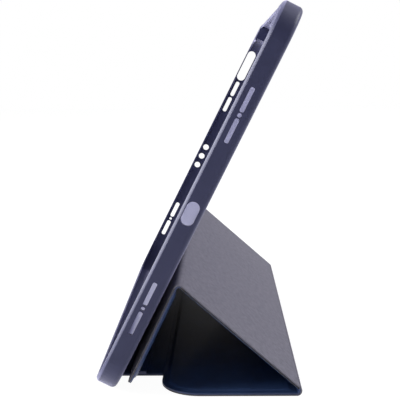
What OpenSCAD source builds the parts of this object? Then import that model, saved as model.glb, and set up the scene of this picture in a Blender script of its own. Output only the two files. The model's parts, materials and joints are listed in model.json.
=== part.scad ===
// Folio case for a tablet of the 11-inch class: a flexible moulded tray with a
// bay for a pen along its top edge, and a three-panel cover, folded behind the
// tray into a triangular stand.
// The stand position is drawn. X runs along the long side of the tray,
// +X is the charging end, the open front looks towards -Y and +Z is up.
// Angles in a YZ section are measured from +Y towards +Z.

/* [Tablet] */
// Length of the tablet that the tray holds
tablet_l = 247.6; // [200:0.1:300]
// Width of the tablet
tablet_w = 178.5; // [150:0.1:220]
// Thickness of the tablet
tablet_t = 6.1; // [5.4:0.1:9]
// Corner radius of the tablet
tablet_r = 16; // [10:0.5:20]
// Clearance on each side of the tablet
tablet_fit = 0.3; // [0.1:0.1:0.6]

/* [Tray] */
// Thickness of the side walls
wall_t = 1.8; // [1.4:0.1:3]
// Thickness of the back
back_t = 2.2; // [1.4:0.1:3]
// Thickness of the lip that holds the tablet in
lip_t = 2.8; // [2:0.1:3.5]
// How far the lip reaches over the tablet from the inside of the wall
lip_reach = 1.3; // [0.6:0.1:3]
// Bevel round the outer edge of the lip
front_bevel = 1.6; // [0.5:0.1:2]
// Round along the back edge of the tray
back_round = 2.2; // [0.8:0.1:3]

/* [Pen bay] */
// Width of the bay along the tray's top edge, beyond the tablet's own space
bay_w = 8.6; // [6:0.1:10]
// Length of the bay
bay_l = 172; // [150:1:180]
// Length of the opening in the top wall, through which the pen is pushed out
pen_l = 72; // [40:1:100]
// Width of that opening
pen_w = 4.2; // [2:0.1:5]
// Middle of that opening along the tray
pen_x = 4; // [-10:1:20]

/* [Ports and slots] */
// Length of the charging port opening
port_l = 11.2; // [8:0.1:14]
// Width of the charging port opening
port_w = 5.9; // [4:0.1:6.2]
// Distance of the speaker groups from the middle of the tablet
speaker_offset = 47.1; // [30:0.1:60]
// Length of one speaker slot
speaker_l = 11.5; // [6:0.1:13]
// Width of the speaker slots at the charging end
speaker_w = 2.0; // [1:0.1:4]
// Width of the speaker slots at the button end
far_speaker_w = 2.7; // [1:0.1:4]
// Diameter of the microphone dot between two slots
mic_d = 1.9; // [1:0.1:3]
// Bridge between a slot and its neighbour
slot_bridge = 0.6; // [0.4:0.1:2]
// Offset of the paired slots at the button end
pair_offset = 47.1; // [30:0.1:60]
// Offset of the slots with a dot at the button end
far_dot_offset = 50.9; // [35:0.1:60]
// Diameter of the three middle holes at the button end
hole_d = 4.1; // [2:0.1:5]
// Pitch of the three middle holes
hole_pitch = 7.0; // [5.5:0.1:9]
// Length of the power button opening
power_l = 22; // [12:0.1:26]
// Width of the power button opening
power_w = 5.8; // [4:0.1:6.2]
// Distance of the power button from the top edge of the tablet
power_edge = 18.2; // [17:0.1:40]
// Side of the square camera opening
camera_side = 32; // [18:0.5:38]
// Corner radius of the camera opening
camera_r = 8; // [3:0.5:9]
// Distance of the camera opening from both edges of the tablet
camera_edge = 5; // [4.5:0.5:12]
// Width of the guard ring round the camera opening
guard_w = 2.2; // [1:0.1:3]
// Height of the guard ring over the back
guard_h = 0.9; // [0.4:0.1:1.2]
// Length of one moulded volume pad
volume_l = 13; // [8:0.5:16]
// Width of the volume pads
volume_w = 3.4; // [2:0.1:4]
// Height of the volume pads over the top wall
volume_h = 0.7; // [0.3:0.1:1]
// Distance of the middle between the volume pads from the button end
volume_edge = 52; // [45:1:60]

/* [Cover] */
// Thickness of the leather skin
leather_t = 0.8; // [0.5:0.05:1.2]
// Thickness of the stiffening boards
board_t = 1.0; // [0.6:0.05:1.6]
// Thickness of the microfibre lining
lining_t = 0.6; // [0.3:0.05:1]
// How far the cover stops short of each end of the tray
cover_inset = 2.6; // [0:0.1:6]
// How far the spine stops short of each end of the tray
spine_inset = 29; // [22:0.5:40]
// Width of the soft crease beside the tray
rear_crease_w = 4.0; // [3:0.1:6]
// Width of the stiff part of the spine
spine_w = 8.6; // [8.2:0.1:11]
// Width of the soft crease between the spine and the base panel
front_crease_w = 7.6; // [4:0.1:8]
// Thickness of each skin where a crease is pressed flat
crease_skin_t = 0.55; // [0.3:0.05:0.6]
// Width of the middle panel
panel_b_w = 69.6; // [66:0.1:74]
// Width of the free panel
panel_c_w = 50.7; // [49:0.1:53]
// Corner radius of the base panel beside the spine
base_corner_r = 18; // [6:0.5:22]
// Corner radius of the free edge
free_corner_r = 9; // [4:0.5:14]
// Leather margin between a board and the outer edges
edge_margin = 4; // [3:0.1:6]
// Unstiffened margin between a board and a fold
fold_margin = 4.2; // [3:0.1:6]
// Running gap between pieces that turn against each other
turn_gap = 0.15; // [0.1:0.05:0.3]
// Taper left at the free edge, as a thickness
free_edge_t = 1.5; // [0.9:0.1:1.6]

/* [Stand] */
// Angle that the tray leans back from upright
lean = 27; // [24:0.5:30]
// Gap between the tray's back and the free panel at the top fold
gap_top = 2.9; // [2.4:0.1:4]
// Gap between the tray's back and the free panel at its free edge
gap_free = 3.9; // [3.8:0.1:6]
// Height of the free edge's skin over the table
free_edge_z = 4.1; // [3.5:0.1:6]
// Start of the rear crease behind the tray's corner
crease_start = 1.6; // [1.5:0.05:2.5]

/* [Magnets and back strip] */
// Length of the closure magnets
magnet_l = 12; // [6:0.5:16]
// Width of the magnets
magnet_w = 4; // [2:0.5:6]
// Distance of the closure magnets from the middle of the cover, inner pair
magnet_x1 = 38; // [20:1:50]
// Distance of the closure magnets from the middle of the cover, outer pair
magnet_x2 = 92; // [70:1:100]
// Diameter of the wake magnet
wake_d = 6; // [4:0.5:7]
// Distance of the wake magnet from the middle of the cover
wake_x = 66; // [56:1:76]
// Distance of the magnets from the free edge
magnet_edge = 10; // [9:0.5:16]
// Width of the leather strip bonded to the tray's back
strip_w = 13; // [8:0.5:20]
// Thickness of the strip's adhesive film
glue_t = 0.15; // [0.05:0.05:0.2]
// Thickness of the leather strip
strip_t = 0.7; // [0.5:0.05:0.8]

/* [Hidden] */
$fn = 48;

// Tray sizes
tray_l = tablet_l + 2 * (tablet_fit + wall_t);
tablet_space = tablet_w + 2 * tablet_fit;
tablet_mid = wall_t + tablet_space / 2;
tray_w = tablet_space + 2 * wall_t + bay_w;
tray_t = back_t + tablet_t + tablet_fit + lip_t;
tray_r = tablet_r + tablet_fit + wall_t;
hole_z = back_t + tablet_t / 2;
far_hole_z = hole_z + 0.9;
floor_chamfer = 0.6;
lip_slope = 0.35;
section_step = 15;
slot_round = 0.36;
far_slot_round = 0.45;
pad_gap = 2.4;
strip_r = 3;

// Overlaps used only while cutting and joining
cut = 1;
join = 0.01;

// Stand: the tray's back is a plane through the corner point [0, corner_z]
rise = 90 - lean;
corner_z = -back_round * (sin(rise) + cos(rise) - 1);
panel_t = leather_t + board_t + lining_t;

// Point at a distance up the tray's back and a distance behind it
function behind(up, off) = [up * cos(rise) + off * sin(rise),
    corner_z + up * sin(rise) - off * cos(rise)];

// The free panel hangs from the upper fold, its lining side facing the tray
free_up = (free_edge_z - corner_z + gap_free * cos(rise)) / sin(rise);
free_span = sqrt(pow(panel_c_w, 2) - pow(gap_free - gap_top, 2));
free_turn = asin((gap_free - gap_top) / panel_c_w);
free_dir = 180 + rise + free_turn;
free_top = behind(free_up + free_span, gap_top);
free_in = [-sin(free_dir), cos(free_dir)];
upper_fold = free_top + panel_t * free_in;

// The middle panel runs from the lower fold on the table up to the upper fold
middle_drop = asin((upper_fold[1] - panel_t) / panel_b_w);
middle_dir = 180 - middle_drop;
lower_fold = [upper_fold[0] + panel_b_w * cos(middle_drop), panel_t];

// Creases on the table
crease_1 = crease_start + rear_crease_w;
crease_2 = crease_1 + spine_w;
base_start = crease_2 + front_crease_w;

// Skins of a fold, and margins of the narrow spine board
fold_core = 0.35;
fold_skin_r = panel_t - lining_t;
fold_relief = 1;
spine_margin = 1;
seat_gap = 0.1;

// Half lengths along X
cover_half = tray_l / 2 - cover_inset;
spine_half = tray_l / 2 - spine_inset;

// Middle of the whole object along Y, set at the origin
front_y = front_bevel * cos(rise) - tray_t * sin(rise);
back_y = lower_fold[0] + panel_t;
mid_y = (front_y + back_y) / 2;

navy = [0.20, 0.21, 0.30];
leather_blue = [0.10, 0.14, 0.26];
lining_grey = [0.42, 0.42, 0.48];
board_grey = [0.62, 0.60, 0.56];

// ---- Shared shapes ----

// Places a part that is drawn in the stand's YZ section
module in_stand() { translate([0, -mid_y, 0]) children(); }

// Places a part that is drawn flat: Y up the tray, Z towards its open front
module on_tray() {
    in_stand() translate([0, 0, corner_z]) rotate([rise, 0, 0]) children();
}

// Places a flat part: Y along the panel from its fold, Z = 0 the leather face
module on_panel(fold, dir) {
    in_stand() translate([0, fold[0], fold[1]]) rotate([dir, 0, 0]) children();
}

// Flat outline from y0 to y1, with a corner radius at each end
module outline(half, y0, y1, r0, r1) {
    translate([-half, y0 + r0]) square([2 * half, y1 - y0 - r0 - r1]);
    if (r0 > 0) {
        translate([-half + r0, y0]) square([2 * (half - r0), r0 + join]);
        for (side = [-1, 1])
            translate([side * (half - r0), y0 + r0]) circle(r0);
    }
    if (r1 > 0) {
        translate([-half + r1, y1 - r1 - join]) square([2 * (half - r1), r1 + join]);
        for (side = [-1, 1])
            translate([side * (half - r1), y1 - r1]) circle(r1);
    }
}

// Slot with rounded corners, lying along Y, pierced along X
module slot_x(length, width, r, depth) {
    rotate([0, 90, 0]) linear_extrude(depth, center = true) {
        square([width - 2 * r, length], center = true);
        square([width, length - 2 * r], center = true);
        for (a = [-1, 1], b = [-1, 1])
            translate([a * (width / 2 - r), b * (length / 2 - r)]) circle(r);
    }
}

// One layer of a panel between two depths under the leather face
module layer(half, y0, y1, r0, r1, top, bottom) {
    translate([0, 0, -bottom]) linear_extrude(bottom - top)
        outline(half, y0, y1, r0, r1);
}

// Leather skin with turned edges, hollow where the board lies
module skin(half, y0, y1, r0, r1, m0, m1) {
    difference() {
        layer(half, y0, y1, r0, r1, 0, leather_t + board_t);
        board(half, y0, y1, r0, r1, m0, m1, cut);
    }
}

// Stiffening board, a margin inside its panel
module board(half, y0, y1, r0, r1, m0, m1, over = 0) {
    layer(half - edge_margin, y0 + m0, y1 - m1,
        max(r0 - edge_margin, 0), max(r1 - edge_margin, 0),
        leather_t, leather_t + board_t + over);
}

module lining(half, y0, y1, r0, r1) {
    layer(half, y0, y1, r0, r1, leather_t + board_t, panel_t);
}

// ---- Tray ----

// Section of the floor, wall and lip, from a corner's centre outwards
module tray_section() {
    inner = tray_r - wall_t;
    lip = inner - lip_reach;
    polygon(concat(
        [[0, 0]],
        [for (a = [-90:section_step:0]) [tray_r - back_round + back_round * cos(a),
            back_round + back_round * sin(a)]],
        [[tray_r, tray_t - front_bevel], [tray_r - front_bevel, tray_t],
        [lip, tray_t], [lip, tray_t - lip_t + lip_reach * lip_slope],
        [inner, tray_t - lip_t], [inner, back_t + floor_chamfer],
        [inner - floor_chamfer, back_t], [0, back_t]]));
}

module tray_body() {
    span_x = tray_l - 2 * tray_r;
    span_y = tray_w - 2 * tray_r;
    translate([-span_x / 2 - join, tray_r - join, 0])
        cube([span_x + 2 * join, span_y + 2 * join, back_t]);
    for (end = [0, 1]) {
        translate([0, tray_r + end * span_y, 0]) rotate([0, 0, end * 180])
            rotate([90, 0, 90]) linear_extrude(span_x, center = true)
            mirror([1, 0, 0]) tray_section();
        translate([(2 * end - 1) * span_x / 2, tray_w / 2, 0])
            rotate([0, 0, 180 * (1 - end)]) rotate([90, 0, 0])
            linear_extrude(span_y, center = true) tray_section();
    }
    for (corner = [0:3]) {
        side_x = (corner == 0 || corner == 3) ? 1 : -1;
        up = corner < 2 ? 1 : 0;
        translate([side_x * span_x / 2, tray_r + up * span_y, 0])
            rotate([0, 0, 90 * corner]) rotate_extrude(angle = 90) tray_section();
    }
}

// Outline of the tablet's space, drawn in by an amount
module tablet_outline(inwards) {
    r = tablet_r + tablet_fit - inwards;
    outline(tray_l / 2 - wall_t - inwards, wall_t + inwards,
        wall_t + tablet_space - inwards, r, r);
}

// Blocks beyond both ends of the pen bay; their lip holds the tablet's top edge
module bay_ends() {
    reach = tray_l / 2 - bay_l / 2;
    low = tray_w - bay_w - tray_r;
    for (level = [[back_t / 2, tray_t - lip_t, 0], [tray_t - lip_t - join, tray_t, lip_reach]])
        translate([0, 0, level[0]]) linear_extrude(level[1] - level[0]) difference() {
            intersection() {
                outline(tray_l / 2 - front_bevel, front_bevel, tray_w - front_bevel,
                    tray_r - front_bevel, tray_r - front_bevel);
                for (side = [-1, 1]) translate([side * (bay_l + reach) / 2, low + tray_w / 2])
                    square([reach, tray_w], center = true);
            }
            tablet_outline(level[2]);
        }
}

// Two slots with a dot between them
module dotted_slots(width, round_share, depth) {
    pitch = speaker_l / 2 + slot_bridge + mic_d / 2;
    for (side = [-1, 1]) translate([0, side * pitch, 0])
        slot_x(speaker_l, width, width * round_share, depth);
    rotate([0, 90, 0]) cylinder(d = mic_d, h = depth, center = true);
}

// Round-ended opening pierced along X
module oval_x(length, width, depth) { slot_x(length, width, width / 2 - join, depth); }

module end_openings() {
    depth = 2 * wall_t + 2 * cut;
    translate([tray_l / 2, tablet_mid, hole_z]) {
        oval_x(port_l, port_w, depth);
        for (side = [-1, 1]) translate([0, side * speaker_offset, 0])
            dotted_slots(speaker_w, slot_round, depth);
    }
    translate([-tray_l / 2, tablet_mid, far_hole_z]) {
        translate([0, tablet_w / 2 - power_edge, 0]) oval_x(power_l, power_w, depth);
        for (side = [-1, 1])
            translate([0, pair_offset + side * (speaker_l + slot_bridge) / 2, 0])
                slot_x(speaker_l - slot_bridge, far_speaker_w,
                    far_speaker_w * far_slot_round, depth);
        for (i = [-1:1]) translate([0, i * hole_pitch, 0])
            rotate([0, 90, 0]) cylinder(d = hole_d, h = depth, center = true);
        translate([0, -far_dot_offset, 0])
            dotted_slots(far_speaker_w, far_slot_round, depth);
    }
}

// Square with round corners, lying in the back of the tray
module camera_outline(grow) {
    r = camera_r + grow;
    side = camera_side + 2 * grow;
    square([side - 2 * r, side], center = true);
    square([side, side - 2 * r], center = true);
    for (a = [-1, 1], b = [-1, 1])
        translate([a * (side / 2 - r), b * (side / 2 - r)]) circle(r);
}

module at_camera() {
    inwards = camera_edge + camera_side / 2;
    translate([inwards - tablet_l / 2, tablet_mid + tablet_w / 2 - inwards, 0]) children();
}

module volume_pads() {
    for (side = [-1, 1])
        translate([-tray_l / 2 + volume_edge + side * (volume_l + pad_gap) / 2,
            tray_w - wall_t / 2, hole_z]) rotate([-90, 0, 0])
            linear_extrude(wall_t / 2 + volume_h) {
                square([volume_l - volume_w, volume_w], center = true);
                for (a = [-1, 1])
                    translate([a * (volume_l - volume_w) / 2, 0]) circle(d = volume_w);
            }
}

module tray_shell() {
    color(navy) on_tray() difference() {
        union() {
            tray_body();
            bay_ends();
            at_camera() translate([0, 0, -guard_h])
                linear_extrude(guard_h + back_t / 2) camera_outline(guard_w);
            volume_pads();
        }
        end_openings();
        at_camera() translate([0, 0, -guard_h - cut])
            linear_extrude(guard_h + back_t + 2 * cut) camera_outline(0);
        translate([pen_x, tray_w, hole_z]) rotate([0, 0, 90])
            oval_x(pen_l, pen_w, 2 * wall_t + 2 * cut);
        strip_recess();
    }
}

// Shallow pocket in the back that seats the bonded strip, open at the tray's edge
module strip_recess() {
    strip_plate(-cut, -cut, strip_t + glue_t);
}

module strip_plate(start, low, high) {
    translate([0, 0, low]) linear_extrude(high - low)
        outline(spine_half, start, back_round + strip_w, 0, strip_r);
}

module back_strip() {
    color(leather_blue) on_tray() strip_plate(back_round, 0, strip_t);
}

module back_strip_glue() {
    color("khaki") on_tray() strip_plate(back_round, strip_t, strip_t + glue_t);
}

// ---- Spine and its creases, flat on the table ----

module on_table() { in_stand() translate([0, 0, panel_t]) children(); }

// Crease skins lie on the table, so the layers start at the lining
module crease_layer(y0, y1, low, high) {
    in_stand() translate([0, 0, low]) linear_extrude(high - low)
        outline(spine_half, y0, y1, 0, 0);
}

module rear_crease_leather() {
    color(leather_blue)
        crease_layer(crease_start, crease_1 - turn_gap, crease_skin_t, 2 * crease_skin_t);
}

module rear_crease_lining() {
    color(lining_grey) crease_layer(crease_start, crease_1 - turn_gap, 0, crease_skin_t);
}

module spine_leather() {
    color(leather_blue) on_table()
        skin(spine_half, crease_1, crease_2 - turn_gap, 0, 0, spine_margin, spine_margin);
}

module spine_board() {
    color(board_grey) on_table()
        board(spine_half, crease_1, crease_2 - turn_gap, 0, 0, spine_margin, spine_margin);
}

module spine_lining() {
    color(lining_grey) on_table()
        lining(spine_half, crease_1, crease_2 - turn_gap, 0, 0);
}

module front_crease_leather() {
    color(leather_blue) crease_layer(crease_2, base_start, crease_skin_t, 2 * crease_skin_t);
}

module front_crease_lining() {
    color(lining_grey) crease_layer(crease_2, base_start, 0, crease_skin_t);
}

// ---- Panels ----

module base_panel_leather() {
    color(leather_blue) on_table()
        skin(cover_half, base_start, lower_fold[0] - turn_gap, base_corner_r, 0,
            edge_margin, fold_margin);
}

module base_panel_board() {
    color(board_grey) on_table()
        board(cover_half, base_start, lower_fold[0] - turn_gap, base_corner_r, 0,
            edge_margin, fold_margin);
}

module base_panel_lining() {
    color(lining_grey) on_table()
        lining(cover_half, base_start, lower_fold[0] - turn_gap, base_corner_r, 0);
}

module middle_panel_leather() {
    color(leather_blue) on_panel(lower_fold, middle_dir)
        skin(cover_half, turn_gap, panel_b_w - turn_gap, 0, 0, fold_margin, fold_margin);
}

module middle_panel_board() {
    color(board_grey) on_panel(lower_fold, middle_dir)
        board(cover_half, turn_gap, panel_b_w - turn_gap, 0, 0, fold_margin, fold_margin);
}

module middle_panel_lining() {
    color(lining_grey) on_panel(lower_fold, middle_dir)
        lining(cover_half, turn_gap, panel_b_w - turn_gap, 0, 0);
}

// Wedge that thins the lining side towards the free edge
module free_taper() {
    run = edge_margin;
    translate([-cover_half - cut, 0, 0]) rotate([90, 0, 90])
        linear_extrude(2 * (cover_half + cut))
        polygon([[panel_c_w - run, -panel_t], [panel_c_w + cut, -free_edge_t],
            [panel_c_w + cut, -panel_t - cut], [panel_c_w - run, -panel_t - cut]]);
}

module free_panel_leather() {
    color(leather_blue) on_panel(upper_fold, free_dir) difference() {
        skin(cover_half, turn_gap, panel_c_w, 0, free_corner_r, fold_margin, edge_margin);
        free_taper();
    }
}

module free_panel_board() {
    color(board_grey) on_panel(upper_fold, free_dir) difference() {
        board(cover_half, turn_gap, panel_c_w, 0, free_corner_r, fold_margin, edge_margin);
        magnet_seats(seat_gap);
    }
}

module free_panel_lining() {
    color(lining_grey) on_panel(upper_fold, free_dir) difference() {
        lining(cover_half, turn_gap, panel_c_w, 0, free_corner_r);
        free_taper();
    }
}

// ---- Soft folds, bent round the fold line on the lining side ----

module fold_arc(fold, from, to, r0, r1) {
    in_stand() translate([cover_half, fold[0], fold[1]]) rotate([90, 0, -90])
        linear_extrude(2 * cover_half) mirror([1, 0, 0]) difference() {
            intersection() {
                circle(r1);
                fold_wedge(from + fold_relief, to - fold_relief, 2 * r1);
            }
            circle(r0);
        }
}

// Flat wedge between two directions less than 180 degrees apart
module fold_wedge(from, to, reach) {
    mid = (from + to) / 2;
    polygon([[0, 0], reach * [cos(from), sin(from)],
        reach / cos((to - from) / 2) * [cos(mid), sin(mid)], reach * [cos(to), sin(to)]]);
}

module lower_fold_leather() {
    color(leather_blue) fold_arc(lower_fold, -90, middle_dir - 90, fold_core, fold_skin_r);
}

module lower_fold_lining() {
    color(lining_grey) fold_arc(lower_fold, -90, middle_dir - 90, fold_skin_r, panel_t);
}

module upper_fold_leather() {
    color(leather_blue)
        fold_arc(upper_fold, middle_dir - 90, free_dir - 90, fold_core, fold_skin_r);
}

module upper_fold_lining() {
    color(lining_grey)
        fold_arc(upper_fold, middle_dir - 90, free_dir - 90, fold_skin_r, panel_t);
}

// ---- Magnets in the free panel's board ----

module closure_seats(gap) {
    for (side = [-1, 1], x = [magnet_x1, magnet_x2])
        translate([side * x - magnet_l / 2 - gap,
            panel_c_w - magnet_edge - magnet_w / 2 - gap, -leather_t - board_t])
            cube([magnet_l + 2 * gap, magnet_w + 2 * gap, board_t]);
}

module wake_seat(gap) {
    translate([wake_x, panel_c_w - magnet_edge, -leather_t - board_t])
        cylinder(d = wake_d + 2 * gap, h = board_t);
}

module magnet_seats(gap) {
    closure_seats(gap);
    wake_seat(gap);
}

module closure_magnets() {
    color("silver") on_panel(upper_fold, free_dir) closure_seats(0);
}

module wake_magnet() {
    color("silver") on_panel(upper_fold, free_dir) wake_seat(0);
}

tray_shell();
back_strip();
back_strip_glue();
rear_crease_leather();
rear_crease_lining();
spine_leather();
spine_board();
spine_lining();
front_crease_leather();
front_crease_lining();
base_panel_leather();
base_panel_board();
base_panel_lining();
lower_fold_leather();
lower_fold_lining();
middle_panel_leather();
middle_panel_board();
middle_panel_lining();
upper_fold_leather();
upper_fold_lining();
free_panel_leather();
free_panel_board();
free_panel_lining();
closure_magnets();
wake_magnet();
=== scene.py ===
import json
import math
import bmesh
import bpy
from mathutils import Matrix, Vector


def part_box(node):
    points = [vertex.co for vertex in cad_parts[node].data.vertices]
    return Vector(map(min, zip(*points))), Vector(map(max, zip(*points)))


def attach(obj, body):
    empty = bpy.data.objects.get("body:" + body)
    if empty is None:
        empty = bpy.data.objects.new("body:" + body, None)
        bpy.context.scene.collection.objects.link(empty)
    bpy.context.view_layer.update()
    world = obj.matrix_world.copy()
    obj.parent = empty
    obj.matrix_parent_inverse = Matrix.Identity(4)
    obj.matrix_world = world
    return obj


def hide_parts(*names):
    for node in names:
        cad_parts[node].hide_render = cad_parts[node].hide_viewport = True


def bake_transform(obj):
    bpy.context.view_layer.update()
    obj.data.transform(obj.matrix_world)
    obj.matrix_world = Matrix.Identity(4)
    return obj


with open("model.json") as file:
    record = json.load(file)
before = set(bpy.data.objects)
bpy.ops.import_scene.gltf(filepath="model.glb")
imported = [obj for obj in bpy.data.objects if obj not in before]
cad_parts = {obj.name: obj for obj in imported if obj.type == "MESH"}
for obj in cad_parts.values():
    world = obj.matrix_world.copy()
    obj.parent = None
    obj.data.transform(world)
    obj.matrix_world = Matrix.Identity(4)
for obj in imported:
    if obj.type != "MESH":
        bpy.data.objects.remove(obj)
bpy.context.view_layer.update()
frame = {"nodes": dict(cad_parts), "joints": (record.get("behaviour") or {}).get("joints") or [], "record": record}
mm = 0.001

# how near a point counts as on an outline or a plane
near = 0.01 * mm

# thicknesses and edge shapes of the cover, in metres
cover = {
    "leather": 0.8 * mm,
    "board": 1.0 * mm,
    "lining": 0.6 * mm,
    "creaseLeather": 0.5 * mm,
    "endInset": 2.6 * mm,
    "spineInset": 29 * mm,
    "baseCorner": 18 * mm,
    "freeCorner": 9 * mm,
    "freeLength": 50.7 * mm,
    "rearCrease": 4.0 * mm,
    "frontCrease": 7.6 * mm,
    "creaseStart": 1.6 * mm,
    "edgeRound": 0.28 * mm,
    "firstRing": 0.7 * mm,
    "rampStart": 1.6 * mm,
    "rampEnd": 3.9 * mm,
    "rampRings": 4,
    "cornerSteps": 14,
    "edgeSteps": 3,
    "stripColumns": 8,
    "stripEdgeShare": 0.3,
    "cutWithin": 0.06 * mm,
    "sharpAngle": 35,
}

# how the leather leaves the tray's back
strip = {
    "lean": 27,
    "backRound": 2.2 * mm,
    "hingeAhead": 0.8 * mm,
    "top": 15.2 * mm,
    "sunk": 0.7 * mm,
    "bendRadius": 0.85 * mm,
}

# rim of the moulded tray: softer and a little lower than the solid's
rim = {
    "height": 9.75 * mm,
    "bevel": 1.25 * mm,
    "spare": 0.02 * mm,
    "corner": 18.1 * mm,
    "width": 191.3 * mm,
    "bevelSteps": 4,
    "bevelProfile": 0.3,
    "blockDepth": 3 * mm,
    "slabDepth": 4 * mm,
    "slabMargin": 20 * mm,
    "notchHalf": 84 * mm,
    "notchLevel": 8.2 * mm,
    "notchTop": 20 * mm,
    "notchInside": 2.1 * mm,
    "notchRadius": 5 * mm,
    "powerMiddle": 162.4 * mm,
    "powerLevel": 6.15 * mm,
    "powerHalf": 11 * mm,
    "powerHalfHeight": 2.9 * mm,
    "powerRadius": 2.85 * mm,
    "powerDepth": 7 * mm,
    "outside": 2 * mm,
    "cutterSteps": 8,
    "mergeWithin": 0.002 * mm,
    "sharpAngle": 30,
}

hinge = {joint["name"]: Vector(joint["pos_m"]) for joint in frame["joints"]}
ratio = {link["joint"]: link["ratio"] for link in frame["record"]["behaviour"]["couplings"]}
swing = max(-joint["range_deg"][0] for joint in frame["joints"] if joint["name"] == "cover_swing")
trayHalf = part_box("tray_shell")[1].x
coverHalf = trayHalf - cover["endInset"]
spineHalf = trayHalf - cover["spineInset"]
rise = math.radians(90 - strip["lean"])
standY = hinge["cover_swing"].y - strip["hingeAhead"]
trayFoot = -strip["backRound"] * (math.sin(rise) + math.cos(rise) - 1)


# ---- the cover's path, from the tray's back round both folds to the free edge ----

def stepsOfPath():
    back = Vector((math.cos(rise), math.sin(rise)))
    down = math.pi + rise
    bondHeight = cover["lining"]
    turn = 2 * math.pi - down
    reach = strip["bendRadius"] * math.tan(turn / 2)
    up = (bondHeight - trayFoot - strip["sunk"] * math.cos(rise)) / math.sin(rise)
    meetY = standY + up * math.cos(rise) - strip["sunk"] * math.sin(rise)
    start = Vector((meetY, bondHeight)) + back * (strip["top"] - up)
    lower = hinge["lower_fold_turn"]
    upper = hinge["upper_fold_turn"]
    foldRadius = cover["leather"] + cover["board"]
    middleTurn = math.atan2(upper.z - lower.z, upper.y - lower.y)
    middleLength = math.hypot(upper.y - lower.y, upper.z - lower.z)
    freeTurn = math.radians(ratio["upper_fold_turn"] * swing)
    flat = lower.y - (meetY + reach)
    return start, down, [
        ("strip", strip["top"] - up - reach, 0, 0),
        ("bend", strip["bendRadius"] * turn, turn, strip["bendRadius"]),
        ("table", flat, 0, 0),
        ("lowerFold", foldRadius * middleTurn, middleTurn, foldRadius),
        ("middle", middleLength, 0, 0),
        ("upperFold", foldRadius * freeTurn, freeTurn, foldRadius),
        ("free", cover["freeLength"], 0, 0),
    ]


def layPath():
    point, angle, steps = stepsOfPath()
    laid = {}
    travelled = 0.0
    for name, length, turn, radius in steps:
        laid[name] = {"start": travelled, "length": length, "point": point.copy(),
                      "angle": angle, "turn": turn, "radius": radius}
        if turn:
            centre = point + radius * Vector((-math.sin(angle), math.cos(angle)))
            angle += turn
            point = centre - radius * Vector((-math.sin(angle), math.cos(angle)))
        else:
            point = point + length * Vector((math.cos(angle), math.sin(angle)))
        travelled += length
    return laid


path = layPath()


def pathEnd(name):
    return path[name]["start"] + path[name]["length"]


def tablePlace(y):
    # distance along the path of a point on the table
    return path["table"]["start"] + y - path["table"]["point"].x


def placeOnPath(along, height):
    # height is measured from the bond between leather and lining, towards the leather
    step = next((s for s in path.values() if along <= s["start"] + s["length"]), path["free"])
    past = along - step["start"]
    angle = step["angle"]
    if step["turn"]:
        centre = step["point"] + step["radius"] * Vector((-math.sin(angle), math.cos(angle)))
        angle += step["turn"] * past / step["length"]
        foot = centre - step["radius"] * Vector((-math.sin(angle), math.cos(angle)))
    else:
        foot = step["point"] + past * Vector((math.cos(angle), math.sin(angle)))
    return foot + height * Vector((-math.sin(angle), math.cos(angle)))


def bendAlongPath(piece):
    for vertex in piece.data.vertices:
        place = placeOnPath(vertex.co.y, vertex.co.z)
        vertex.co.y = place.x
        vertex.co.z = place.y


# ---- modelling helpers ----

def selectOnly(piece):
    bpy.ops.object.select_all(action="DESELECT")
    piece.select_set(True)
    bpy.context.view_layer.objects.active = piece


def startEditing(piece):
    selectOnly(piece)
    bpy.ops.object.mode_set(mode="EDIT")
    return bmesh.from_edit_mesh(piece.data)


def stopEditing():
    bpy.ops.object.mode_set(mode="OBJECT")


def applyModifier(piece, name):
    selectOnly(piece)
    bpy.ops.object.modifier_apply(modifier=name)


def pickVertices(mesh, test):
    bpy.ops.mesh.select_mode(type="VERT")
    bpy.ops.mesh.select_all(action="DESELECT")
    for vertex in mesh.verts:
        vertex.select = test(vertex.co)
    mesh.select_flush_mode()


def pickEdges(mesh, test):
    bpy.ops.mesh.select_mode(type="EDGE")
    bpy.ops.mesh.select_all(action="DESELECT")
    for edge in mesh.edges:
        edge.select = test(edge.verts[0].co, edge.verts[1].co)
    mesh.select_flush_mode()


def edgeDistance(plan, x, along, foldsCount):
    # distance inwards from the outline; a side that runs into a fold counts only when asked
    far = 1.0
    sideX = plan["half"] - abs(x)
    side0 = along - plan["from"] if plan["edge0"] or foldsCount else far
    side1 = plan["to"] - along if plan["edge1"] or foldsCount else far
    for side, radius in ((side0, plan["round0"]), (side1, plan["round1"])):
        if radius and sideX < radius and side < radius:
            return radius - math.hypot(radius - sideX, radius - side)
    return min(sideX, side0, side1)


def makePlan(half, start, end, edge0=False, edge1=False, round0=0, round1=0):
    # an outline in the flat: which ends are free edges, and how their corners are rounded
    return {"half": half, "from": start, "to": end, "edge0": edge0, "edge1": edge1,
            "round0": round0, "round1": round1}


def flatSheet(name, plan):
    # a plane of the piece's outline, drawn flat: X along the tray, Y along the path
    bpy.ops.object.select_all(action="DESELECT")
    bpy.ops.mesh.primitive_plane_add(size=1, location=(0, 0, 0))
    piece = bpy.context.active_object
    piece.name = name
    startEditing(piece)
    bpy.ops.mesh.select_all(action="SELECT")
    bpy.ops.transform.resize(value=(2 * plan["half"], plan["to"] - plan["from"], 1))
    bpy.ops.transform.translate(value=(0, (plan["from"] + plan["to"]) / 2, 0))
    for end, radius in ((plan["from"], plan["round0"]), (plan["to"], plan["round1"])):
        if radius:
            mesh = bmesh.from_edit_mesh(piece.data)
            pickVertices(mesh, lambda co: abs(co.y - end) < near)
            bpy.ops.mesh.bevel(offset=radius, segments=cover["cornerSteps"], affect="VERTICES")
    stopEditing()
    return piece


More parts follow.
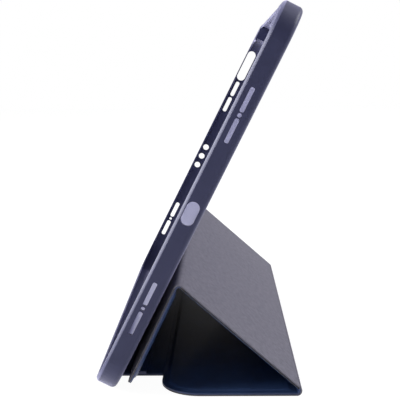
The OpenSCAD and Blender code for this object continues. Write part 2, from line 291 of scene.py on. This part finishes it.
def roundOuterEdges(piece, plan, width):
    mesh = startEditing(piece)

    def onOutline(a, b):
        level = math.hypot(a.x - b.x, a.y - b.y) > 2 * near
        return level and all(edgeDistance(plan, co.x, co.y, False) < 2 * near for co in (a, b))

    pickEdges(mesh, onOutline)
    bpy.ops.mesh.bevel(offset=width, segments=cover["edgeSteps"], affect="EDGES")
    stopEditing()


def finishSheet(piece, material, cutPlan=None):
    # bends the flat piece into place; with a plan, its raw side faces get the cut edge's finish
    cutFaces = []
    if cutPlan:
        cutFaces = [face.index for face in piece.data.polygons
                    if edgeDistance(cutPlan, *face.center.xy, False) < cover["cutWithin"]]
    bendAlongPath(piece)
    startEditing(piece)
    bpy.ops.mesh.select_all(action="SELECT")
    bpy.ops.mesh.normals_make_consistent(inside=False)
    stopEditing()
    bpy.ops.object.shade_smooth_by_angle(angle=math.radians(cover["sharpAngle"]))
    piece.data.materials.clear()
    piece.data.materials.append(material)
    if cutFaces:
        piece.data.materials.append(cutEdge)
        for index in cutFaces:
            piece.data.polygons[index].material_index = 1
    return piece


def thicken(piece, thickness):
    solid = piece.modifiers.new("thickness", "SOLIDIFY")
    solid.thickness = thickness
    solid.offset = -1
    solid.use_even_offset = True
    applyModifier(piece, "thickness")


# ---- materials ----

def newMaterial(name):
    material = bpy.data.materials.new(name)
    material.use_nodes = True
    tree = material.node_tree
    return material, tree, tree.nodes["Principled BSDF"]


grain = {"noiseDetail": 3, "ridgeWidth": 0.25, "ridgeShare": 0.6}
mottle = {"noiseDetail": 6, "noiseRoughness": 0.62, "darkBelow": 0.3, "lightAbove": 0.7}


def makeGrainGroup():
    # fine leather-like cells over soft creases, as a height
    group = bpy.data.node_groups.new("fineGrain", "ShaderNodeTree")
    group.interface.new_socket("Scale", in_out="INPUT", socket_type="NodeSocketFloat")
    group.interface.new_socket("Height", in_out="OUTPUT", socket_type="NodeSocketFloat")
    nodes, links = group.nodes, group.links
    source = nodes.new("NodeGroupInput")
    result = nodes.new("NodeGroupOutput")
    place = nodes.new("ShaderNodeTexCoord")
    cells = nodes.new("ShaderNodeTexVoronoi")
    cells.feature = "DISTANCE_TO_EDGE"
    noise = nodes.new("ShaderNodeTexNoise")
    noise.inputs["Detail"].default_value = grain["noiseDetail"]
    links.new(place.outputs["Object"], cells.inputs["Vector"])
    links.new(place.outputs["Object"], noise.inputs["Vector"])
    links.new(source.outputs["Scale"], cells.inputs["Scale"])
    links.new(source.outputs["Scale"], noise.inputs["Scale"])
    ramp = nodes.new("ShaderNodeMapRange")
    ramp.inputs["From Max"].default_value = grain["ridgeWidth"]
    links.new(cells.outputs["Distance"], ramp.inputs["Value"])
    mix = nodes.new("ShaderNodeMath")
    mix.operation = "MULTIPLY_ADD"
    mix.inputs[1].default_value = grain["ridgeShare"]
    links.new(ramp.outputs["Result"], mix.inputs[0])
    links.new(noise.outputs["Fac"], mix.inputs[2])
    links.new(mix.outputs[0], result.inputs["Height"])
    return group


def makeMottleGroup():
    # slow variation between two colours
    group = bpy.data.node_groups.new("softMottle", "ShaderNodeTree")
    for name in ("Light", "Dark"):
        group.interface.new_socket(name, in_out="INPUT", socket_type="NodeSocketColor")
    group.interface.new_socket("Scale", in_out="INPUT", socket_type="NodeSocketFloat")
    group.interface.new_socket("Color", in_out="OUTPUT", socket_type="NodeSocketColor")
    nodes, links = group.nodes, group.links
    source = nodes.new("NodeGroupInput")
    result = nodes.new("NodeGroupOutput")
    place = nodes.new("ShaderNodeTexCoord")
    noise = nodes.new("ShaderNodeTexNoise")
    noise.inputs["Detail"].default_value = mottle["noiseDetail"]
    noise.inputs["Roughness"].default_value = mottle["noiseRoughness"]
    links.new(place.outputs["Object"], noise.inputs["Vector"])
    links.new(source.outputs["Scale"], noise.inputs["Scale"])
    ramp = nodes.new("ShaderNodeMapRange")
    ramp.inputs["From Min"].default_value = mottle["darkBelow"]
    ramp.inputs["From Max"].default_value = mottle["lightAbove"]
    links.new(noise.outputs["Fac"], ramp.inputs["Value"])
    mix = nodes.new("ShaderNodeMix")
    mix.data_type = "RGBA"
    links.new(ramp.outputs["Result"], mix.inputs["Factor"])
    links.new(source.outputs["Dark"], mix.inputs["A"])
    links.new(source.outputs["Light"], mix.inputs["B"])
    links.new(mix.outputs["Result"], result.inputs["Color"])
    return group


grainGroup = makeGrainGroup()
mottleGroup = makeMottleGroup()
white = (1, 1, 1)


def makeSurface(name, look):
    # one finish: mottled colour and a grain bump, with the look's own values
    material, tree, shader = newMaterial(name)
    colour = tree.nodes.new("ShaderNodeGroup")
    colour.node_tree = mottleGroup
    colour.inputs["Light"].default_value = (*look["light"], 1)
    colour.inputs["Dark"].default_value = (*look["dark"], 1)
    colour.inputs["Scale"].default_value = look["mottleScale"]
    tree.links.new(colour.outputs["Color"], shader.inputs["Base Color"])
    relief = tree.nodes.new("ShaderNodeGroup")
    relief.node_tree = grainGroup
    relief.inputs["Scale"].default_value = look["grainScale"]
    bump = tree.nodes.new("ShaderNodeBump")
    bump.inputs["Strength"].default_value = look["bump"]
    bump.inputs["Distance"].default_value = look["grainDepth"]
    tree.links.new(relief.outputs["Height"], bump.inputs["Height"])
    tree.links.new(bump.outputs["Normal"], shader.inputs["Normal"])
    shader.inputs["Roughness"].default_value = look["roughness"]
    shader.inputs["Metallic"].default_value = look.get("metallic", 0)
    shader.inputs["Sheen Weight"].default_value = look.get("sheen", 0)
    shader.inputs["Sheen Roughness"].default_value = 0.5
    shader.inputs["Sheen Tint"].default_value = (*look.get("sheenTint", white), 1)
    shader.inputs["Specular IOR Level"].default_value = look.get("specular", 0.5)
    shader.inputs["Specular Tint"].default_value = (*look.get("specularTint", white), 1)
    return material


trayLook = {"light": (0.029, 0.032, 0.090), "dark": (0.022, 0.025, 0.073), "mottleScale": 60,
            "grainScale": 2600, "bump": 0.25, "grainDepth": 0.00005, "roughness": 0.42,
            "sheen": 0.6, "sheenTint": (0.68, 0.67, 0.96), "specular": 0.3}
leatherLook = {"light": (0.034, 0.072, 0.188), "dark": (0.026, 0.054, 0.144), "mottleScale": 90,
               "grainScale": 1500, "bump": 0.5, "grainDepth": 0.00008, "roughness": 0.45,
               "specular": 0.62, "specularTint": (1.0, 0.76, 0.6)}
liningLook = {"light": (0.240, 0.232, 0.286), "dark": (0.176, 0.171, 0.215), "mottleScale": 420,
              "grainScale": 3400, "bump": 0.6, "grainDepth": 0.00006, "roughness": 0.95,
              "sheen": 0.06, "sheenTint": (0.7, 0.7, 0.8), "specular": 0.1}
edgeLook = {"light": (0.085, 0.074, 0.068), "dark": (0.012, 0.011, 0.010), "mottleScale": 900,
            "grainScale": 2400, "bump": 0.4, "grainDepth": 0.00008, "roughness": 0.8}
boardLook = {"light": (0.50, 0.46, 0.38), "dark": (0.42, 0.38, 0.31), "mottleScale": 300,
             "grainScale": 2400, "bump": 0.3, "grainDepth": 0.00005, "roughness": 0.9}
glueLook = {"light": (0.62, 0.55, 0.34), "dark": (0.56, 0.49, 0.30), "mottleScale": 100,
            "grainScale": 900, "bump": 0.1, "grainDepth": 0.00004, "roughness": 0.4}
magnetLook = {"light": (0.62, 0.62, 0.64), "dark": (0.52, 0.52, 0.55), "mottleScale": 240,
              "grainScale": 3000, "bump": 0.1, "grainDepth": 0.00003, "roughness": 0.3,
              "metallic": 1}

trayRubber = makeSurface("trayRubber", trayLook)
leather = makeSurface("coverLeather", leatherLook)
microfibre = makeSurface("coverMicrofibre", liningLook)
cutEdge = makeSurface("cutEdge", edgeLook)
boardStock = makeSurface("boardStock", boardLook)
glueFilm = makeSurface("glueFilm", glueLook)
plating = makeSurface("magnetPlating", magnetLook)

cadFinish = {"moulded_tray": trayRubber, "leather": leather, "lining": microfibre,
             "board": boardStock, "adhesive": glueFilm, "magnet": plating}
for row in frame["record"]["subparts"]:
    node = frame["nodes"][row["node"]]
    node.data.materials.clear()
    node.data.materials.append(cadFinish[row["material_slot"]])
print("materials ready")


# ---- moulded tray ----

def cutWith(piece, cutter):
    cut = piece.modifiers.new("cut", "BOOLEAN")
    cut.operation = "DIFFERENCE"
    cut.solver = "EXACT"
    cut.object = cutter
    applyModifier(piece, "cut")
    selectOnly(cutter)
    bpy.ops.object.delete()


def boxCutter(name, size, middle):
    bpy.ops.object.select_all(action="DESELECT")
    bpy.ops.mesh.primitive_cube_add(size=1, location=middle)
    cutter = bpy.context.active_object
    cutter.name = name
    startEditing(cutter)
    bpy.ops.mesh.select_all(action="SELECT")
    bpy.ops.transform.resize(value=size, center_override=middle)
    stopEditing()
    return cutter


def rimCutter():
    # a slab over the tray's open front, hollowed by a block with a rounded rim
    spare = rim["spare"]
    outline = makePlan(trayHalf + spare, -spare, rim["width"] + spare, True, True,
                       rim["corner"] + spare, rim["corner"] + spare)
    block = flatSheet("rimBlock", outline)
    thicken(block, rim["blockDepth"])
    mesh = startEditing(block)
    pickEdges(mesh, lambda a, b: a.z > -near and b.z > -near)
    bpy.ops.mesh.bevel(offset=rim["bevel"], segments=rim["bevelSteps"],
                       profile=rim["bevelProfile"], affect="EDGES")
    bpy.ops.mesh.select_all(action="SELECT")
    bpy.ops.mesh.normals_make_consistent(inside=False)
    stopEditing()
    size = (2 * trayHalf + rim["slabMargin"], rim["width"] + rim["slabMargin"], rim["slabDepth"])
    low = -rim["bevel"] - spare
    slab = boxCutter("rimCutter", size, (0, rim["width"] / 2, low + rim["slabDepth"] / 2))
    cutWith(slab, block)
    return slab


def roundedCutter(name, low, high, axis, radius):
    # a box between two corners, its edges along one axis rounded
    size = [high[i] - low[i] for i in range(3)]
    middle = [(high[i] + low[i]) / 2 for i in range(3)]
    cutter = boxCutter(name, size, middle)
    mesh = startEditing(cutter)
    pickEdges(mesh, lambda a, b: abs(a[axis] - b[axis]) > 0.5 * size[axis])
    bpy.ops.mesh.bevel(offset=radius, segments=rim["cutterSteps"], affect="EDGES")
    stopEditing()
    return cutter


def mouldedTray():
    # the node's own shape with a lower, rounded rim, a dip in the top wall and a clear opening;
    # the cutters are made in the tray's own frame: along the wall, up the back, off the back
    place = Matrix.Translation((0, standY, trayFoot)) @ Matrix.Rotation(rise, 4, "X")
    outside = -trayHalf - rim["outside"]
    cutters = (
        (rimCutter(), rim["height"]),
        (roundedCutter("rimNotch",
                       (-rim["notchHalf"], rim["width"] - rim["notchInside"], rim["notchLevel"]),
                       (rim["notchHalf"], rim["width"] + rim["outside"], rim["notchTop"]),
                       1, rim["notchRadius"]), 0),
        (roundedCutter("powerOpening",
                       (outside, rim["powerMiddle"] - rim["powerHalf"],
                        rim["powerLevel"] - rim["powerHalfHeight"]),
                       (outside + rim["powerDepth"], rim["powerMiddle"] + rim["powerHalf"],
                        rim["powerLevel"] + rim["powerHalfHeight"]),
                       0, rim["powerRadius"]), 0),
    )
    for cutter, level in cutters:
        cutter.matrix_world = place @ Matrix.Translation((0, 0, level)) @ cutter.matrix_world
    selectOnly(frame["nodes"]["tray_shell"])
    bpy.ops.object.duplicate()
    piece = bpy.context.active_object
    piece.name = "tray_moulding"
    bpy.ops.mesh.customdata_custom_splitnormals_clear()
    startEditing(piece)
    bpy.ops.mesh.select_all(action="SELECT")
    bpy.ops.mesh.remove_doubles(threshold=rim["mergeWithin"])
    stopEditing()
    for cutter, level in cutters:
        cutWith(piece, cutter)
    selectOnly(piece)
    bpy.ops.object.shade_smooth_by_angle(angle=math.radians(rim["sharpAngle"]))
    piece.modifiers.new("evenNormals", "WEIGHTED_NORMAL").keep_sharp = True
    applyModifier(piece, "evenNormals")
    piece.data.materials.clear()
    piece.data.materials.append(trayRubber)
    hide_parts("tray_shell")
    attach(piece, "tray")


mouldedTray()
print("tray ready")


# ---- panels of the cover ----

def panelLeather(name, plan, showsCut):
    # skin that lies over its board and drops to the lining along every side
    piece = flatSheet(name, plan)
    startEditing(piece)
    ramp = cover["rampEnd"] - cover["rampStart"]
    rings = [cover["firstRing"], cover["rampStart"] - cover["firstRing"]]
    rings += [ramp / cover["rampRings"]] * cover["rampRings"]
    bpy.ops.mesh.select_mode(type="FACE")
    bpy.ops.mesh.select_all(action="SELECT")
    for width in rings:
        bpy.ops.mesh.inset(thickness=width, depth=0, use_even_offset=True)
    stopEditing()
    for vertex in piece.data.vertices:
        inside = edgeDistance(plan, vertex.co.x, vertex.co.y, True)
        share = min(max((inside - cover["rampStart"]) / ramp, 0), 1)
        lift = share * share * (3 - 2 * share)
        vertex.co.z = cover["leather"] + lift * cover["board"]
    thicken(piece, cover["leather"])
    roundOuterEdges(piece, plan, cover["edgeRound"])
    return finishSheet(piece, leather, plan if showsCut else None)


def panelLining(name, plan, showsCut):
    piece = flatSheet(name, plan)
    thicken(piece, cover["lining"])
    roundOuterEdges(piece, plan, cover["edgeRound"])
    return finishSheet(piece, microfibre, plan if showsCut else None)


def bentStrip(name, plan, top, thickness, material, slotName, cuts=24):
    # narrow strip with cuts across the path, so that it can follow a bend
    bpy.ops.object.select_all(action="DESELECT")
    bpy.ops.mesh.primitive_grid_add(x_subdivisions=cover["stripColumns"], y_subdivisions=cuts,
                                    size=1)
    piece = bpy.context.active_object
    piece.name = name
    startEditing(piece)
    bpy.ops.mesh.select_all(action="SELECT")
    bpy.ops.transform.resize(value=(2 * plan["half"], plan["to"] - plan["from"], 1))
    bpy.ops.transform.translate(value=(0, (plan["from"] + plan["to"]) / 2, top))
    stopEditing()
    thicken(piece, thickness)
    roundOuterEdges(piece, plan, min(cover["edgeRound"], cover["stripEdgeShare"] * thickness))
    return finishSheet(piece, material)


creaseRear = standY + cover["creaseStart"] + cover["rearCrease"]
creaseFront = hinge["front_fold"].y
baseStart = creaseFront + cover["frontCrease"]
basePlan = makePlan(coverHalf, tablePlace(baseStart), pathEnd("table"), edge0=True,
                    round0=cover["baseCorner"])
middlePlan = makePlan(coverHalf, path["middle"]["start"], pathEnd("middle"))
freePlan = makePlan(coverHalf, path["free"]["start"], pathEnd("free"), edge1=True,
                    round1=cover["freeCorner"])

# the skin whose raw edge shows: the leather's on the middle panel, the lining's on the others
for body, panelPlan, leatherCut in (("base_panel", basePlan, False),
                                    ("middle_panel", middlePlan, True),
                                    ("free_panel", freePlan, False)):
    skin = panelLeather(body + "_skin", panelPlan, leatherCut)
    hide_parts(body + "_leather")
    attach(skin, body)
    under = panelLining(body + "_microfibre", panelPlan, not leatherCut)
    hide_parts(body + "_lining")
    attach(under, body)
print("panels ready")


# ---- folds ----

for fold, step, first, second in (("lower_fold", "lowerFold", "base_panel", "middle_panel"),
                                  ("upper_fold", "upperFold", "middle_panel", "free_panel")):
    foldPlan = makePlan(coverHalf, path[step]["start"], pathEnd(step))
    ends = [(0, *placeOnPath(along, 0)) for along in (foldPlan["from"], foldPlan["to"])]
    skin = bentStrip(fold + "_skin", foldPlan, cover["leather"], cover["leather"],
                     leather, "leather")
    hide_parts(fold + "_leather")
    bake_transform(skin)
    under = bentStrip(fold + "_microfibre", foldPlan, 0, cover["lining"], microfibre, "lining")
    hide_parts(fold + "_lining")
    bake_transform(under)
print("folds ready")


# ---- strip on the tray's back, creases and spine ----

# where the narrow pieces start and end, measured along the table past a hinge or an edge
crease = {
    "bendPast": 1.2 * mm,
    "leatherPast": 0.2 * mm,
    "liningPast": 0.8 * mm,
    "spineLap": 0.6 * mm,
    "baseLap": 1.5 * mm,
    "frontTurn": 3 * mm,
    "stripCuts": 6,
    "spineCuts": 12,
    "spineLiningCuts": 4,
}
swingY = hinge["cover_swing"].y
creaseSkinDepth = (cover["creaseLeather"], cover["creaseLeather"])

stripPlan = makePlan(spineHalf, 0, pathEnd("strip"), edge0=True)
stripSkin = bentStrip("back_strip_skin", stripPlan, *creaseSkinDepth, leather, "leather",
                      cuts=crease["stripCuts"])
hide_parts("back_strip")
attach(stripSkin, "tray")

bendPlan = makePlan(spineHalf, path["bend"]["start"], tablePlace(swingY + crease["bendPast"]))
bendSkin = bentStrip("rear_bend_skin", bendPlan, *creaseSkinDepth, leather, "leather")
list(placeOnPath(bendPlan["from"], 0))
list(placeOnPath(bendPlan["to"], 0))
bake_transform(bendSkin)

creasePlan = makePlan(spineHalf, tablePlace(swingY + crease["leatherPast"]),
                      tablePlace(creaseRear + crease["spineLap"]))
creaseSkin = bentStrip("rear_crease_skin", creasePlan, *creaseSkinDepth, leather, "leather")
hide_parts("rear_crease_leather")
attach(creaseSkin, "spine")
creaseUnderPlan = makePlan(spineHalf, tablePlace(swingY + crease["liningPast"]),
                           creasePlan["to"], edge0=True)
creaseUnder = bentStrip("rear_crease_microfibre", creaseUnderPlan, 0, cover["lining"],
                        microfibre, "lining")
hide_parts("rear_crease_lining")
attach(creaseUnder, "spine")

spinePlan = makePlan(spineHalf, creasePlan["to"], tablePlace(creaseFront - crease["spineLap"]))
spineRise = cover["leather"] + cover["board"]
spineSkin = bentStrip("spine_skin", spinePlan, spineRise, spineRise, leather, "leather",
                      cuts=crease["spineCuts"])
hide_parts("spine_leather")
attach(spineSkin, "spine")
spineUnder = bentStrip("spine_microfibre", spinePlan, 0, cover["lining"], microfibre, "lining",
                       cuts=crease["spineLiningCuts"])
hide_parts("spine_lining")
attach(spineUnder, "spine")

frontPlan = makePlan(spineHalf, spinePlan["to"], tablePlace(baseStart + crease["baseLap"]))
for name, top, thickness, material, slotName, node in (
        ("front_crease_skin", *creaseSkinDepth, leather, "leather", "front_crease_leather"),
        ("front_crease_microfibre", 0, cover["lining"], microfibre, "lining",
         "front_crease_lining")):
    piece = bentStrip(name, frontPlan, top, thickness, material, slotName)
    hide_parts(node)
    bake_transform(piece)
print("spine ready")


# ---- floor, light and camera ----

studio = {
    "floorSize": 6.0,
    "floorColour": (0.9, 0.9, 0.9),
    "floorRoughness": 0.9,
    "floorGlow": 1.1,
    "glowShare": 0.88,
    "worldStrength": 0.23,
    "aim": (0, 0, 0.07),
}


def raySwitch(tree, first, second):
    # one where either kind of ray meets the surface
    light = tree.nodes.new("ShaderNodeLightPath")
    seen = tree.nodes.new("ShaderNodeMath")
    seen.operation = "MAXIMUM"
    tree.links.new(light.outputs[first], seen.inputs[0])
    tree.links.new(light.outputs[second], seen.inputs[1])
    return seen


def makeStage():
    bpy.ops.object.select_all(action="DESELECT")
    bpy.ops.mesh.primitive_plane_add(size=studio["floorSize"], location=(0, 0, 0))
    floor = bpy.context.active_object
    floor.name = "floor"
    material, tree, shader = newMaterial("paleFloor")
    shader.inputs["Base Color"].default_value = (*studio["floorColour"], 1)
    shader.inputs["Roughness"].default_value = studio["floorRoughness"]
    seen = raySwitch(tree, "Is Camera Ray", "Is Glossy Ray")
    glow = tree.nodes.new("ShaderNodeEmission")
    glow.inputs["Strength"].default_value = studio["floorGlow"]
    mix = tree.nodes.new("ShaderNodeMixShader")
    part = tree.nodes.new("ShaderNodeMath")
    part.operation = "MULTIPLY"
    part.inputs[1].default_value = studio["glowShare"]
    tree.links.new(seen.outputs[0], part.inputs[0])
    tree.links.new(part.outputs[0], mix.inputs["Fac"])
    tree.links.new(shader.outputs[0], mix.inputs[1])
    tree.links.new(glow.outputs[0], mix.inputs[2])
    tree.links.new(mix.outputs[0], tree.nodes["Material Output"].inputs["Surface"])
    floor.data.materials.append(material)


def makeWorld():
    world = bpy.data.worlds.new("studio")
    bpy.context.scene.world = world
    world.use_nodes = True
    tree = world.node_tree
    back = tree.nodes["Background"]
    seen = raySwitch(tree, "Is Camera Ray", "Is Transmission Ray")
    strength = tree.nodes.new("ShaderNodeMapRange")
    strength.inputs["To Min"].default_value = studio["worldStrength"]
    strength.inputs["To Max"].default_value = 1.0
    tree.links.new(seen.outputs[0], strength.inputs["Value"])
    tree.links.new(strength.outputs["Result"], back.inputs["Strength"])
    back.inputs["Color"].default_value = (*white, 1)


def addLamp(name, power, size, place, target):
    bpy.ops.object.light_add(type="AREA", location=place)
    lamp = bpy.context.active_object
    lamp.name = name
    lamp.data.energy = power
    lamp.data.shape = "RECTANGLE"
    lamp.data.size = size[0]
    lamp.data.size_y = size[1]
    aim = Vector(target) - Vector(place)
    lamp.rotation_euler = aim.to_track_quat("-Z", "Y").to_euler()


lamps = {
    "leftPanel": {"power": 41, "size": (1.1, 0.9), "place": (-0.1, -1.15, 0.6)},
    "rightPanel": {"power": 15.5, "size": (0.9, 0.9), "place": (-0.2, 1.2, 0.9)},
    "cameraPanel": {"power": 0.4, "size": (0.8, 0.8), "place": (1.3, 0.2, 0.1)},
}

# standing point and turn of the camera, in the frame of the stand
view = {
    "place": (0.49086, 0.05084, 0.14391),
    "yaw": -1.531,
    "pitch": 8.539,
    "roll": -0.72,
    "focalPixels": 861.8,
    "picturePixels": 400,
    "sensor": 36,
    "clipStart": 0.01,
}


def makeCamera():
    yaw, pitch, roll = (math.radians(view[key]) for key in ("yaw", "pitch", "roll"))
    ahead = Vector((-math.cos(yaw) * math.cos(pitch), math.sin(yaw) * math.cos(pitch),
                    -math.sin(pitch)))
    right = ahead.cross(Vector((0, 0, 1))).normalized()
    up = right.cross(ahead)
    turnedRight = math.cos(roll) * right + math.sin(roll) * up
    turnedUp = -math.sin(roll) * right + math.cos(roll) * up
    data = bpy.data.cameras.new("camera")
    data.sensor_width = view["sensor"]
    data.lens = view["focalPixels"] / view["picturePixels"] * view["sensor"]
    data.clip_start = view["clipStart"]
    camera = bpy.data.objects.new("camera", data)
    bpy.context.scene.collection.objects.link(camera)
    basis = Matrix((turnedRight, turnedUp, -ahead)).transposed().to_4x4()
    place = Vector(view["place"]) + Vector((0, standY, 0))
    camera.matrix_world = Matrix.Translation(place) @ basis
    bpy.context.scene.camera = camera


makeStage()
makeWorld()
for lampName, lamp in lamps.items():
    addLamp(lampName, lamp["power"], lamp["size"], lamp["place"], studio["aim"])
makeCamera()
bpy.context.scene.view_settings.view_transform = "Standard"
print("studio ready")
